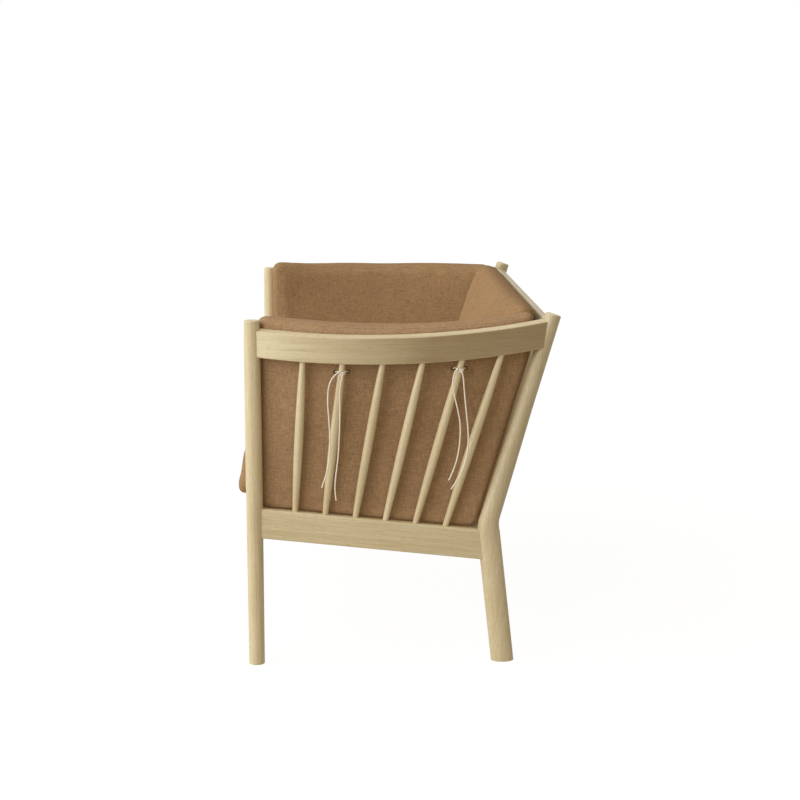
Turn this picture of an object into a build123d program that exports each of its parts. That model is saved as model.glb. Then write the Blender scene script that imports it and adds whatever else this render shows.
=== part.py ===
"""Two-seat loveseat: an open spindle frame in pale oak with loose woollen cushions.

The sitter faces -Y, +X is the sitter's left and +Z is up. All lengths are millimetres. While
the pieces are made, Y counts from the axis of the front legs. At the end they are all moved,
so that the origin lies on the floor below the middle of the whole.
"""

import math
import os

from build123d import *

# The frame as a whole
leg_span = 1210              # between the axes of the left and the right legs
knee_depth = 514             # from the axis of a front leg back to the knee of a rear leg
seat_front_height = 355.6    # top of the seat rails at the front legs
seat_slope = 6.26            # degrees that the seat falls to the rear
recline = 16.85              # degrees that the rear posts lean back above the knee
splay = 6.23                 # degrees that the rear legs rake back below the knee
glue_gap = 0.15              # all round a tenon and along a shoulder
overrun = 10                 # how far a cutter reaches past the face that it cuts

# Front legs, turned from the square
front_leg_proud = 18.8       # how far it stands above the arm rail
front_leg_foot_dia = 35
front_leg_dia = 36.5
front_leg_top_dia = 34.5
front_leg_full_from = 300    # height at which the leg has its full width
front_leg_taper = 190        # length of the taper below the top
leg_top_round = 3
leg_foot_round = 2

# Rear legs, sawn from a board with a bend at the knee and rounded to an oval
knee_height = 311.6
rear_leg_thickness = 36
rear_leg_width = 50.4
rear_post_base_width = 43
rear_post_waist_width = 35.6
rear_post_top_width = 34.5
rear_post_proud = 9.8        # how far the middle of its end stands above the arm rail
knee_bend = 18               # length of the bend on each side of the knee
bend_steps = 6
rear_post_waist_share = 0.56 # of the post's length above the knee
oval_excess = 0.01           # keeps the top a true oval, so that it lines up with the others

# Seat rails
seat_rail_thickness = 22
seat_rail_height = 66.2
rail_top_round = 5
rail_bottom_round = 2
tenon_thickness = 9
tenon_shoulder = 9           # rail left above and below a tenon
tenon_parting = 1            # wood left between two tenons that meet in a leg
rear_rail_thickness = 20
rear_rail_height = 60
rear_rail_set = 1.4          # its middle lies this far behind the plane of the rear posts
back_foot_set = 3            # and so do the feet of the back spindles

# Arm rails, bowed outwards and falling outwards like the plane of the bow
arm_bow = 60                 # how far the middle stands outside the legs
arm_tilt = 17.3              # degrees that the top falls outwards
arm_front_height = 751.2     # top of the rail at the axis of the front leg
arm_rear_height = 768.9      # top of the rail at the axis of the rear post
arm_rail_height = 55.4
arm_rail_thickness = 20
arm_rail_round = 2.5

# Back rail between the rear posts, leaning with them
back_rail_drop = 18          # from the end of a rear post down to the top of the rail
back_rail_height = 56
back_rail_thickness = 20
back_rail_round = 5

# Spindles, turned with a belly below the middle
spindle_end_dia = 12.5
spindle_belly_dia = 19.5
spindle_belly_share = 0.44
spindle_tenon = 14
arm_spindle_count = 6
arm_spindle_front_foot = 89  # from the front leg to the foot of the first arm spindle
arm_spindle_rear_foot = 94   # from the knee to the foot of the last arm spindle
arm_spindle_front_head = 110
arm_spindle_rear_head = 113
back_spindle_count = 13

# Slatted deck on two cleats
slat_count = 10
slat_width = 68
slat_thickness = 14
slat_inset = 2               # below the top of the seat rails
slat_end_gap = 1
slat_edge_round = 2
cleat_depth = 20
cleat_height = 22
cleat_end_gap = 6

# Cushions
rest_gap = 0.3               # between a soft piece and what it lies on or against
seat_cushion_thickness = 122
seat_cushion_crown = 10
seat_cushion_nose = 42.5     # how far the front stands before the axis of the front legs
seat_cushion_edge = 30
seat_cushion_pull = 6        # how far each side is drawn in between its corners
seat_cushion_end_gap = 5     # between the seat cushion and the foot of an arm cushion
seat_cushion_back_gap = 13
back_cushion_edge_thickness = 66
back_cushion_crown = 22
back_cushion_edge = 26
back_cushion_pull = 5
back_cushion_top = 10        # how far it stands above the back rail
back_cushion_end_gap = 4
back_cushion_flare = 19      # its top is wider by this at each end
arm_cushion_thickness = 90
arm_cushion_edge_thickness = 74
arm_cushion_edge = 22
arm_cushion_crown = 9
arm_cushion_front_gap = 8    # from the axis of the front leg to the front of the cushion
arm_cushion_side_gap = 2     # between the bellies of the spindles and the cushion
arm_cushion_rear_gap = 9     # between the rear post and the rear of the cushion
# Edge of an arm cushion above the top of the arm rail, at even steps from front to rear
left_arm_cushion_rise = (24, 15, 10, 17)
right_arm_cushion_rise = (39, 33.5, 28, 12)

# Leather ties of the left arm cushion
thong_dia = 3
knot_dia = 9
eyelet_dia = 9
eyelet_bore = 4
eyelet_thickness = 1.6
eyelet_spread = 13           # from the spindle to the eyelet on each side of it
tied_spindle_shares = {"front": 0.2, "rear": 0.8}  # of the way from the first spindle to the last
tie_share = 0.945            # height of a tie as a share of the spindle's length

# Free ends of the thongs: (depth, height) of each point from the knot, hanging straight down
tail_routes = {
    "tie_front_tail_a": [(-4, 4), (-17, -5), (-28, -25), (-31, -60), (-28, -100), (-26, -145),
                         (-28, -190), (-36, -226), (-45, -250)],
    "tie_front_tail_b": [(2, -3), (-1, -17), (-5, -42), (-4, -90), (-6, -140), (-9, -185),
                         (-15, -229), (-17, -258), (-14, -278)],
    "tie_rear_tail_a": [(-4, 4), (-11, -3), (-16, -20), (-14, -50), (-5, -85), (2, -123),
                        (-1, -172), (-11, -215), (-24, -242)],
    "tie_rear_tail_b": [(3, -1), (7, -14), (9, -44), (13, -88), (19, -143), (16, -187),
                        (4, -224), (-9, -246), (-19, -261)],
}
tail_radius_share = 0.45     # of the shorter run beside a corner, by half the turn's tangent

leg_x = leg_span / 2
front_leg_height = arm_front_height + front_leg_proud
rear_post_length = (arm_rear_height + rear_post_proud - knee_height) / math.cos(math.radians(recline))
slope_tangent = math.tan(math.radians(seat_slope))
recline_tangent = math.tan(math.radians(recline))
post_lean = Vector(0, math.sin(math.radians(recline)), math.cos(math.radians(recline)))
leg_rake = Vector(0, -math.sin(math.radians(splay)), math.cos(math.radians(splay)))


def seat_top(y):
    """Height of the plane through the tops of the seat rails."""
    return seat_front_height - y * slope_tangent


def post_y(z):
    """Depth of the axis of a rear post at a height above the knee."""
    return knee_depth + (z - knee_height) * recline_tangent


def mirrored(shape):
    """The same piece for the right side."""
    return mirror(shape, about=Plane.YZ)


def largest(shape):
    """The one solid that is left of a rail once both its ends are coped."""
    return max(shape.solids(), key=lambda solid: solid.volume)


def front_leg_blank(grow=0):
    """Left front leg without its mortises: a turned profile round a vertical axis."""
    foot = front_leg_foot_dia / 2 + grow
    full = front_leg_dia / 2 + grow
    top = front_leg_top_dia / 2 + grow
    taper_start = front_leg_height - front_leg_taper
    side = Polyline((0, 0), (foot, 0), (full, front_leg_full_from), (full, taper_start))
    side += TangentArc((full, taper_start), (top, front_leg_height), tangent=(0, 1))
    side += Polyline((top, front_leg_height), (0, front_leg_height), (0, 0))
    body = revolve(make_face(Plane.XZ * side), Axis.Z)
    ends = body.edges().filter_by(GeomType.CIRCLE).sort_by(Axis.Z)
    body = fillet(ends[-1], leg_top_round)
    ends = body.edges().filter_by(GeomType.CIRCLE).sort_by(Axis.Z)
    body = fillet(ends[0], leg_foot_round)
    return Pos(leg_x, 0, 0) * body


def oval(centre, direction, width, thickness):
    """One section of a rear leg, square to its axis there."""
    plane = Plane(origin=centre, x_dir=(1, 0, 0), z_dir=direction)
    return plane * Ellipse(thickness / 2, width / 2)


def rear_leg_blank(grow=0):
    """Left rear leg without its mortises: ovals from the foot, round the knee and up to the top."""
    knee = Vector(leg_x, knee_depth, knee_height)
    foot = knee - leg_rake * (knee_height / leg_rake.Z)
    leg_width = rear_leg_width + 2 * grow
    base_width = rear_post_base_width + 2 * grow
    waist_width = rear_post_waist_width + 2 * grow
    top_width = rear_post_top_width + 2 * grow
    thickness = rear_leg_thickness + 2 * grow
    foot_width = leg_width / math.cos(math.radians(splay))
    sections = [oval(foot, (0, 0, 1), foot_width, thickness)]
    turn = math.radians(splay + recline)
    radius = knee_bend / math.tan(turn / 2)
    rearwards = Vector(0, leg_rake.Z, -leg_rake.Y)
    for index in range(bend_steps + 1):
        share = index / bend_steps
        angle = turn * share
        place = knee - leg_rake * (knee_bend - radius * math.sin(angle))
        place += rearwards * (radius * (1 - math.cos(angle)))
        direction = leg_rake * math.cos(angle) + rearwards * math.sin(angle)
        width = leg_width + (base_width - leg_width) * share
        sections.append(oval(place, direction, width, thickness))
    waist = knee + post_lean * (rear_post_length * rear_post_waist_share)
    top = knee + post_lean * rear_post_length
    sections.append(oval(waist, post_lean, waist_width, thickness))
    sections.append(oval(top, post_lean, top_width + oval_excess, top_width))
    body = loft(sections, ruled=True)
    body = fillet(body.faces().sort_by(Axis.Z)[-1].edges(), leg_top_round)
    return fillet(body.faces().sort_by(Axis.Z)[0].edges(), leg_foot_round)


def bar(length, thickness, height, top_round, bottom_round):
    """A straight rail along +Y whose top face lies at height zero."""
    body = Pos(0, length / 2, -height / 2) * Box(thickness, length, height)
    edges = body.edges().filter_by(Axis.Y).group_by(Axis.Z)
    body = fillet(edges[-1], top_round)
    edges = body.edges().filter_by(Axis.Y).group_by(Axis.Z)
    return fillet(edges[0], bottom_round)


def side_seat_rail(cope):
    """Left seat rail between the legs, with a tenon in each; returns it and its tenons."""
    length = knee_depth / math.cos(math.radians(seat_slope))
    place = Pos(leg_x, 0, seat_front_height) * Rot(-seat_slope, 0, 0)
    rail = place * bar(length, seat_rail_thickness, seat_rail_height, rail_top_round, rail_bottom_round)
    return with_tenon(rail, cope, lambda grow: place * tenon_bar(length, seat_rail_height, grow))


def tenon_bar(length, height, grow):
    """The core of a rail that runs on into both legs as its tenons."""
    core_height = height - 2 * tenon_shoulder
    core = Box(tenon_thickness + 2 * grow, length + 2 * grow, core_height + 2 * grow)
    return Pos(0, length / 2, -height / 2) * core


def with_tenon(rail, cope, tenons):
    """Copes a rail to its legs and adds its tenons; tenons(grow) also cuts the mortises."""
    for leg in cope:
        rail = largest(rail - leg)
    return rail + tenons(0), tenons(glue_gap)


def cross_bar(height, thickness, top_round, bottom_round):
    """A rail along X from leg axis to leg axis, centred, its top face at height zero."""
    return Rot(0, 0, -90) * Pos(0, -leg_x, 0) * bar(leg_span, thickness, height, top_round, bottom_round)


def cross_rail(place, height, thickness, top_round, bottom_round, cope):
    """A rail across the seat or the back, with a tenon in the left and the right leg."""
    reach = leg_x - tenon_thickness / 2 - tenon_parting
    rail = place * cross_bar(height, thickness, top_round, bottom_round)

    def tenons(grow):
        core_height = height - 2 * tenon_shoulder
        core = Box(2 * (reach + grow), tenon_thickness + 2 * grow, core_height + 2 * grow)
        return place * Pos(0, 0, -height / 2) * core

    return with_tenon(rail, cope, tenons)


arm_depth = post_y(arm_rear_height)
arm_radius = ((arm_depth / 2) ** 2 + arm_bow ** 2) / (2 * arm_bow)
arm_tilt_tangent = math.tan(math.radians(arm_tilt))


def bow_x(y):
    """How far out the middle of the left arm rail stands at a depth."""
    centre = leg_x + arm_bow - arm_radius
    return centre + math.sqrt(arm_radius ** 2 - (y - arm_depth / 2) ** 2)


def arm_top(x, y):
    """Height of the top of the left arm rail at a place in plan."""
    rise = (arm_rear_height - arm_front_height) / arm_depth
    return arm_front_height + y * rise - (x - leg_x) * arm_tilt_tangent


def bowed_bar(thickness, height, drop):
    """A bowed bar with upright sides, cut above and below by planes that fall outwards."""
    centre = leg_x + arm_bow - arm_radius
    middle = arm_depth / 2
    arcs = []
    for radius in (arm_radius - thickness / 2, arm_radius + thickness / 2):
        end_x = centre + math.sqrt(radius ** 2 - middle ** 2)
        arcs.append(ThreePointArc((end_x, 0), (centre + radius, middle), (end_x, arm_depth)))
    inner, outer = arcs
    outline = inner + Line(inner @ 1, outer @ 1) + outer + Line(outer @ 0, inner @ 0)
    low = min(arm_front_height, arm_rear_height) - 2 * arm_rail_height
    high = max(arm_front_height, arm_rear_height) + arm_rail_height
    band = extrude(Pos(0, 0, low) * make_face(outline), high - low, dir=(0, 0, 1))
    along = Vector(0, arm_depth, arm_rear_height - arm_front_height).normalized()
    outwards = Vector(1, 0, -arm_tilt_tangent).normalized()
    top = Plane(origin=(leg_x, 0, arm_front_height), x_dir=outwards, z_dir=outwards.cross(along))
    slab = Pos(0, 0, -drop - height / 2) * Box(2 * arm_depth, 3 * arm_depth, height)
    return band & (top * slab)


def arm_rail(cope):
    """Left arm rail, coped to the front leg and the rear post and tenoned into both."""
    rail = bowed_bar(arm_rail_thickness, arm_rail_height, 0)
    ends = rail.faces().filter_by(Axis.Y)
    long_edges = [edge for edge in rail.edges() if not any(same_edge(edge, face) for face in ends)]
    rail = fillet([edge for edge in long_edges if edge.length > arm_depth / 2], arm_rail_round)

    def tenons(grow):
        height = arm_rail_height - 2 * tenon_shoulder + 2 * grow
        return bowed_bar(tenon_thickness + 2 * grow, height, tenon_shoulder - grow)

    return with_tenon(rail, cope, tenons)


def same_edge(edge, face):
    """Whether an edge bounds a face."""
    return any(edge.is_same(other) for other in face.edges())


class Spindle:
    """A turned spindle between two points, and the bit that drills its two holes."""

    def __init__(self, foot, head):
        self.foot = Vector(*foot)
        self.head = Vector(*head)
        self.length = (self.head - self.foot).length
        self.plane = Plane(origin=self.foot, z_dir=self.head - self.foot)

    def profile(self):
        """The turned outline between the tenons, fullest at the belly."""
        belly = (spindle_belly_dia / 2, self.length * spindle_belly_share)
        return Spline((spindle_end_dia / 2, 0), belly, (spindle_end_dia / 2, self.length))

    def radius(self, share):
        """Radius at a share of the length, where a level line meets the outline."""
        level = Axis((0, self.length * share, 0), (1, 0, 0))
        return self.profile().find_intersection_points(level)[0].X

    def solid(self):
        """The spindle, turned to its outline, with a round tenon at each end."""
        end = spindle_end_dia / 2
        side = Polyline((0, -spindle_tenon), (end, -spindle_tenon), (end, 0)) + self.profile()
        tip = self.length + spindle_tenon
        side += Polyline((end, self.length), (end, tip), (0, tip), (0, -spindle_tenon))
        return self.plane * revolve(make_face(Plane.XZ * side), Axis.Z)

    def holes(self):
        """Both blind holes, a glue gap wider and deeper than the tenons."""
        depth = spindle_tenon + glue_gap + overrun
        bit = Cylinder(spindle_end_dia / 2 + glue_gap, depth)
        foot_hole = Pos(0, 0, overrun - depth / 2) * bit
        head_hole = Pos(0, 0, self.length - overrun + depth / 2) * bit
        return self.plane * foot_hole, self.plane * head_hole

    def at(self, share):
        """The point of the axis at a share of the length."""
        return self.foot + (self.head - self.foot) * share


def evenly(first, last, count):
    """Evenly spaced values from the first to the last."""
    return [first + (last - first) * index / (count - 1) for index in range(count)]


def arm_spindles():
    """The spindles of the left arm, fanned out from the seat rail to the arm rail."""
    feet = evenly(arm_spindle_front_foot, knee_depth - arm_spindle_rear_foot, arm_spindle_count)
    heads = evenly(arm_spindle_front_head, arm_depth - arm_spindle_rear_head, arm_spindle_count)
    rail_height = arm_rail_height / math.cos(math.radians(arm_tilt))
    return [
        Spindle((leg_x, foot, seat_top(foot)), (bow_x(head), head, arm_top(bow_x(head), head) - rail_height))
        for foot, head in zip(feet, heads)
    ]


rear_rail_top = seat_top(knee_depth)
back_foot_y = post_y(rear_rail_top)
rear_rail_y = back_foot_y + rear_rail_set
back_rail_top = rear_post_length - back_rail_drop
knee_point = Vector(0, knee_depth, knee_height)


def back_spindles():
    """The spindles of the back, parallel, from the rear seat rail to the back rail."""
    pitch = leg_span / (back_spindle_count + 1)
    foot = Vector(0, back_foot_y + back_foot_set, rear_rail_top)
    head = knee_point + post_lean * (back_rail_top - back_rail_height)
    return [
        Spindle(foot + Vector(x, 0, 0), head + Vector(x, 0, 0))
        for x in evenly(-leg_x + pitch, leg_x - pitch, back_spindle_count)
    ]


front_rail_face = seat_rail_thickness / 2
front_rail_top = seat_top(front_rail_face) - slat_inset
rear_rail_face = rear_rail_y - rear_rail_thickness / 2


def slat(x):
    """One slat, laid from the front cleat to the rear cleat along the slope of the seat."""
    start = front_rail_face + slat_end_gap
    end = rear_rail_face - slat_end_gap
    depth = slat_thickness / math.cos(math.radians(seat_slope))
    outline = [
        (start, seat_top(start) - slat_inset),
        (end, seat_top(end) - slat_inset),
        (end, seat_top(end) - slat_inset - depth),
        (start, seat_top(start) - slat_inset - depth),
    ]
    side = make_face(Plane.YZ * Polyline(*outline, close=True))
    body = Pos(x - slat_width / 2, 0, 0) * extrude(side, slat_width, dir=(1, 0, 0))
    long_edges = [edge for edge in body.edges() if edge.length > slat_width + slat_thickness]
    return fillet(long_edges, slat_edge_round)


def cleat(face_y, inwards):
    """A ledge along a seat rail whose top is planed to the slope of the slats."""
    depth = slat_thickness / math.cos(math.radians(seat_slope))
    edge_y = face_y + inwards * cleat_depth
    tops = [seat_top(y) - slat_inset - depth for y in (face_y, edge_y)]
    low = min(tops) - cleat_height
    outline = [(face_y, tops[0]), (edge_y, tops[1]), (edge_y, low), (face_y, low)]
    side = make_face(Plane.YZ * Polyline(*outline, close=True))
    half = leg_x - rear_leg_thickness / 2 - cleat_end_gap
    return Pos(-half, 0, 0) * extrude(side, 2 * half, dir=(1, 0, 0))


def quarter(radius, degrees):
    """Offset from the end plane and inset of a rounded edge, an angle along its quarter circle."""
    angle = math.radians(degrees)
    return radius * (1 - math.cos(angle)), radius * (1 - math.sin(angle))


edge_angles = (0, 30, 60, 90)    # where a section is laid across a cushion's rounded edge
crown_shares = (0.2, 0.45, 0.75)  # of half the depth of a cushion, where a section is laid on its crown


def pillow(length, depth, thickness, crown, edge, pull, flare=0):
    """A crowned cushion lying flat at height zero: outlines with drawn-in sides, lofted upwards.

    The flare widens the side at +Y by as much at each end.
    """

    def ring(height, inset):
        near_x = length / 2 - inset
        far_x = near_x + flare
        half_y = depth / 2 - inset
        in_x = (near_x + far_x) / 2 - pull
        in_y = half_y - pull
        sides = ThreePointArc((-near_x, -half_y), (0, -in_y), (near_x, -half_y))
        sides += ThreePointArc((near_x, -half_y), (in_x, 0), (far_x, half_y))
        sides += ThreePointArc((far_x, half_y), (0, in_y), (-far_x, half_y))
        sides += ThreePointArc((-far_x, half_y), (-in_x, 0), (-near_x, -half_y))
        face = make_face(sides)
        return Pos(0, 0, height) * fillet(face.vertices(), edge)

    rings = []
    for degrees in edge_angles:
        height, inset = quarter(edge, degrees)
        rings.append(ring(height, inset))
    for degrees in reversed(edge_angles[1:]):
        height, inset = quarter(edge, degrees)
        rings.append(ring(thickness - height, inset))
    for share in crown_shares:
        inset = edge + share * (depth / 2 - edge)
        rings.append(ring(thickness + crown * (1 - (1 - share) ** 2), inset))
    return loft(rings, ruled=True)


cushion_x = leg_x - spindle_belly_dia / 2 - arm_cushion_side_gap
arm_cushion_foot_x = cushion_x - arm_cushion_thickness


def seat_cushion():
    """The long seat cushion, laid on the slats between the arm cushions."""
    plane = Plane(
        origin=(0, front_rail_face, seat_top(front_rail_face) - slat_inset + rest_gap),
        x_dir=(1, 0, 0),
        z_dir=(0, math.sin(math.radians(seat_slope)), math.cos(math.radians(seat_slope))),
    )
    slope = math.cos(math.radians(seat_slope))
    front = -(seat_cushion_nose + front_rail_face) / slope
    back = (back_cushion_front() - front_rail_face) / slope - seat_cushion_back_gap
    length = 2 * (arm_cushion_foot_x - seat_cushion_end_gap)
    body = pillow(length, back - front, seat_cushion_thickness, seat_cushion_crown, seat_cushion_edge, seat_cushion_pull)
    return plane * Pos(0, (front + back) / 2, 0) * body


back_cushion_setback = spindle_belly_dia / 2 + rest_gap


def back_cushion_front():
    """Depth of the back cushion's front near its foot, half way up the seat cushion."""
    middle = rear_rail_top + seat_cushion_thickness / 2
    thickness = back_cushion_setback + back_cushion_edge_thickness
    return post_y(middle) - thickness / math.cos(math.radians(recline))


def back_cushion():
    """The long back cushion, leaning on the spindles with its rounded foot on the slats."""
    foot = knee_point + post_lean * ((rear_rail_top - knee_height) / post_lean.Z)
    forwards = Vector(0, -post_lean.Z, post_lean.Y)
    corner = foot + forwards * (back_cushion_setback + back_cushion_edge) + post_lean * back_cushion_edge
    above = (corner.Z - seat_top(corner.Y) + slat_inset) * math.cos(math.radians(seat_slope))
    drop = (above - back_cushion_edge - rest_gap) / math.cos(math.radians(recline - seat_slope))
    length = back_rail_top - (foot - knee_point).Z / post_lean.Z + back_cushion_top + drop
    span = 2 * (arm_cushion_foot_x - back_cushion_end_gap)
    plane = Plane(origin=foot + forwards * back_cushion_setback, x_dir=(1, 0, 0), z_dir=forwards)
    body = pillow(span, length, back_cushion_edge_thickness, back_cushion_crown,
                  back_cushion_edge, back_cushion_pull, back_cushion_flare)
    return plane * Pos(0, length / 2 - drop, 0) * body


def arm_cushion(rise):
    """A left arm cushion: outlines that fan out with the spindles and follow the bow."""
    front_y = arm_cushion_front_gap
    rear_gap = rear_post_base_width / 2 + arm_cushion_rear_gap
    foot_rear_y = post_y(rear_rail_top) - rear_gap / math.cos(math.radians(recline))
    head_rear_y = post_y(arm_rear_height) - rear_gap / math.cos(math.radians(recline))
    stations = []
    for degrees in edge_angles:
        offset, inset = quarter(arm_cushion_edge, degrees)
        share = offset / (head_rear_y - front_y)
        stations += [(share, inset), (1 - share, inset)]
    stations += [(share, 0) for share in arm_station_shares]
    outlines = [
        arm_outline(share, inset, front_y, foot_rear_y, head_rear_y, rise)
        for share, inset in sorted(stations)
    ]
    return loft(outlines, ruled=True)


arm_station_shares = (0.14, 0.26, 0.38, 0.5, 0.62, 0.74, 0.86)
arm_end_fullness = 0.15      # of the middle's crown, left at both ends
arm_corner_share = 0.6       # of an outline's inset, by which its corners get tighter


def curve_through(values, share):
    """Value at a share of the way along the one polynomial through evenly spaced values."""
    place = share * (len(values) - 1)
    total = 0
    for index, value in enumerate(values):
        others = [other for other in range(len(values)) if other != index]
        total += value * math.prod((place - other) / (index - other) for other in others)
    return total


def arm_outline(share, inset, front_y, foot_rear_y, head_rear_y, rise):
    """One cross-section of an arm cushion, at a share of the way from front to rear."""
    foot_y = front_y + share * (foot_rear_y - front_y)
    head_y = front_y + share * (head_rear_y - front_y)
    foot = Vector(0, foot_y, seat_top(foot_y) - slat_inset + rest_gap)
    head_x = bow_x(head_y) - leg_x + cushion_x
    head = Vector(0, head_y, arm_top(bow_x(head_y), head_y) + curve_through(rise, share))
    height = (head - foot).length
    fullness = arm_end_fullness + (1 - arm_end_fullness) * math.sin(math.pi * share)
    thickness = arm_cushion_edge_thickness + (arm_cushion_thickness - arm_cushion_edge_thickness) * fullness
    crown = arm_cushion_crown * fullness
    plane = Plane(origin=foot, x_dir=(1, 0, 0), z_dir=(0, foot.Z - head.Z, head.Y - foot.Y))
    low, high = inset, height - inset
    outer_foot, outer_head = cushion_x - inset, head_x - inset
    inner_foot, inner_head = cushion_x - thickness + inset, head_x - thickness + inset
    middle = ((inner_foot + inner_head) / 2 - crown, height / 2)
    sides = Polyline((inner_foot, low), (outer_foot, low), (outer_head, high))
    sides += ThreePointArc((outer_head, high), ((outer_head + inner_head) / 2, high + crown), (inner_head, high))
    sides += ThreePointArc((inner_head, high), middle, (inner_foot, low))
    face = make_face(sides)
    return plane * fillet(face.vertices(), arm_cushion_edge - inset * arm_corner_share)


def surface_point(cushion, through, direction):
    """Where a line leaves a cushion on its outer side, and the surface's direction there."""
    hits = cushion.find_intersection_points(Axis(through, direction))
    return max(hits, key=lambda hit: hit[0].X)


def eyelet(point, normal):
    """A small metal ring that lies on the cover."""
    ring = Cylinder(eyelet_dia / 2, eyelet_thickness) - Cylinder(eyelet_bore / 2, eyelet_thickness)
    return Plane(origin=point + normal * (rest_gap + eyelet_thickness / 2), z_dir=normal) * ring


def tie(spindle, cushion):
    """A thong round a spindle: its loop with the knot, the eyelets, and where the knot sits."""
    centre = spindle.at(tie_share)
    axis = (spindle.head - spindle.foot).normalized()
    radius = spindle.radius(tie_share) + rest_gap + thong_dia / 2
    outwards = (Vector(1, 0, 0) - axis * axis.X).normalized()
    loop = Plane(origin=centre, z_dir=axis) * Torus(radius, thong_dia / 2)
    knot_centre = centre + outwards * (radius + knot_dia / 2)
    loop += Pos(*knot_centre) * Sphere(knot_dia / 2)
    eyelets = []
    for side in (-1, 1):
        point, normal = surface_point(cushion, centre + Vector(0, side * eyelet_spread, 0), (1, 0, 0))
        eyelets.append(eyelet(point, normal))
        ring_side = centre + Vector(0, side * radius, 0)
        strand_end = point + normal * (2 * rest_gap + eyelet_thickness + thong_dia / 2)
        loop += sweep(Plane(origin=ring_side, z_dir=strand_end - ring_side) * Circle(thong_dia / 2),
                      Line(ring_side, strand_end))
    return loop, eyelets, knot_centre


def tail(name, knot_centre):
    """One free end of a thong: straight runs joined by arcs as large as the runs allow."""
    reach = knot_dia / 2 + rest_gap + thong_dia / 2
    route = tail_routes[name]
    start_x = math.sqrt(reach ** 2 - route[0][0] ** 2 - route[0][1] ** 2)
    points = [knot_centre + Vector(start_x, y, z) for y, z in route]
    radii = []
    for before, here, after in zip(points, points[1:], points[2:]):
        turn = math.radians((here - before).get_angle(after - here))
        shorter = min((here - before).length, (after - here).length)
        radii.append(tail_radius_share * shorter / math.tan(turn / 2))
    path = FilletPolyline(*points, radius=radii)
    body = sweep(Plane(origin=path @ 0, z_dir=path % 0) * Circle(thong_dia / 2), path)
    section = math.pi * (thong_dia / 2) ** 2
    print(name, "length", round(path.length, 1), "radii", [round(radius) for radius in radii],
          "volume by section and length", round(body.volume / (section * path.length), 4))
    return body


def build():
    """Every piece by name, still counted from the axis of the front legs."""
    legs = {"front": front_leg_blank(), "rear": rear_leg_blank()}
    cope = [front_leg_blank(glue_gap), rear_leg_blank(glue_gap)]
    both_fronts = [cope[0], mirrored(cope[0])]
    both_rears = [cope[1], mirrored(cope[1])]
    pieces = {}
    side_rail, side_tenons = side_seat_rail(cope)
    arm, arm_tenons = arm_rail(cope)
    pieces["front_seat_rail"], front_tenons = cross_rail(
        Pos(0, 0, front_rail_top), seat_rail_height, seat_rail_thickness,
        rail_top_round, rail_bottom_round, both_fronts)
    rear_rail, rear_tenons = cross_rail(
        Pos(0, rear_rail_y, rear_rail_top), rear_rail_height, rear_rail_thickness,
        rail_bottom_round, rail_bottom_round, both_rears)
    back_place = Plane(origin=knee_point + post_lean * back_rail_top, x_dir=(1, 0, 0), z_dir=post_lean)
    back_rail, back_tenons = cross_rail(
        back_place, back_rail_height, back_rail_thickness, back_rail_round, rail_bottom_round, both_rears)
    front_leg = legs["front"] - side_tenons - arm_tenons - front_tenons
    rear_leg = legs["rear"] - side_tenons - arm_tenons - rear_tenons - back_tenons
    spindles = arm_spindles()
    for spindle in spindles:
        foot_hole, head_hole = spindle.holes()
        side_rail -= foot_hole
        arm -= head_hole
    sides = {
        "front_leg": front_leg,
        "rear_leg": rear_leg,
        "side_seat_rail": side_rail,
        "arm_rail": arm,
    }
    for index, spindle in enumerate(spindles, 1):
        sides[f"arm_spindle_{index}"] = spindle.solid()
    for name, piece in sides.items():
        pieces[f"left_{name}"] = piece
        pieces[f"right_{name}"] = mirrored(piece)
    for index, spindle in enumerate(back_spindles(), 1):
        foot_hole, head_hole = spindle.holes()
        rear_rail -= foot_hole
        back_rail -= head_hole
        pieces[f"back_spindle_{index:02d}"] = spindle.solid()
    pieces["rear_seat_rail"] = rear_rail
    pieces["back_rail"] = back_rail
    pieces["front_cleat"] = cleat(front_rail_face, 1)
    pieces["rear_cleat"] = cleat(rear_rail_face, -1)
    deck_half = leg_x - seat_rail_thickness / 2
    slat_pitch = 2 * deck_half / slat_count
    for index, x in enumerate(evenly(-deck_half + slat_pitch / 2, deck_half - slat_pitch / 2, slat_count), 1):
        pieces[f"seat_slat_{index:02d}"] = slat(x)
    pieces["seat_cushion"] = seat_cushion()
    pieces["back_cushion"] = back_cushion()
    pieces["left_arm_cushion"] = arm_cushion(left_arm_cushion_rise)
    pieces["right_arm_cushion"] = mirrored(arm_cushion(right_arm_cushion_rise))
    eyelets = []
    tails = {}
    for name, share in tied_spindle_shares.items():
        tied = spindles[round(share * (arm_spindle_count - 1))]
        loop, rings, knot_centre = tie(tied, pieces["left_arm_cushion"])
        pieces[f"tie_{name}_loop"] = loop
        eyelets += rings
        for end in ("a", "b"):
            tail_name = f"tie_{name}_tail_{end}"
            tails[tail_name] = tail(tail_name, knot_centre)
    pieces["cushion_eyelets"] = Part() + eyelets
    return pieces, tails


def main():
    """Centres the whole on its footprint and writes one file for each piece."""
    pieces, tails = build()
    boxes = [piece.bounding_box() for piece in pieces.values()]
    low = min(box.min.Y for box in boxes)
    high = max(box.max.Y for box in boxes)
    print("depth", round(high - low, 1), "front leg axis at", round(-(low + high) / 2, 3))
    os.makedirs("parts", exist_ok=True)
    for name, piece in {**pieces, **tails}.items():
        export_step(Pos(0, -(low + high) / 2, 0) * piece, f"parts/{name}.step")


main()
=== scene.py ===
"""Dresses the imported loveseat: soaped oak, woollen cushions and the thongs that tie one arm.

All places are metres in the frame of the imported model: +X is the sitter's left, -Y is the front
and +Z is up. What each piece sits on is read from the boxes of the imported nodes.
"""

import math

import bpy
import numpy as np
from mathutils import Matrix, Vector
from mathutils.bvhtree import BVHTree


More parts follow.
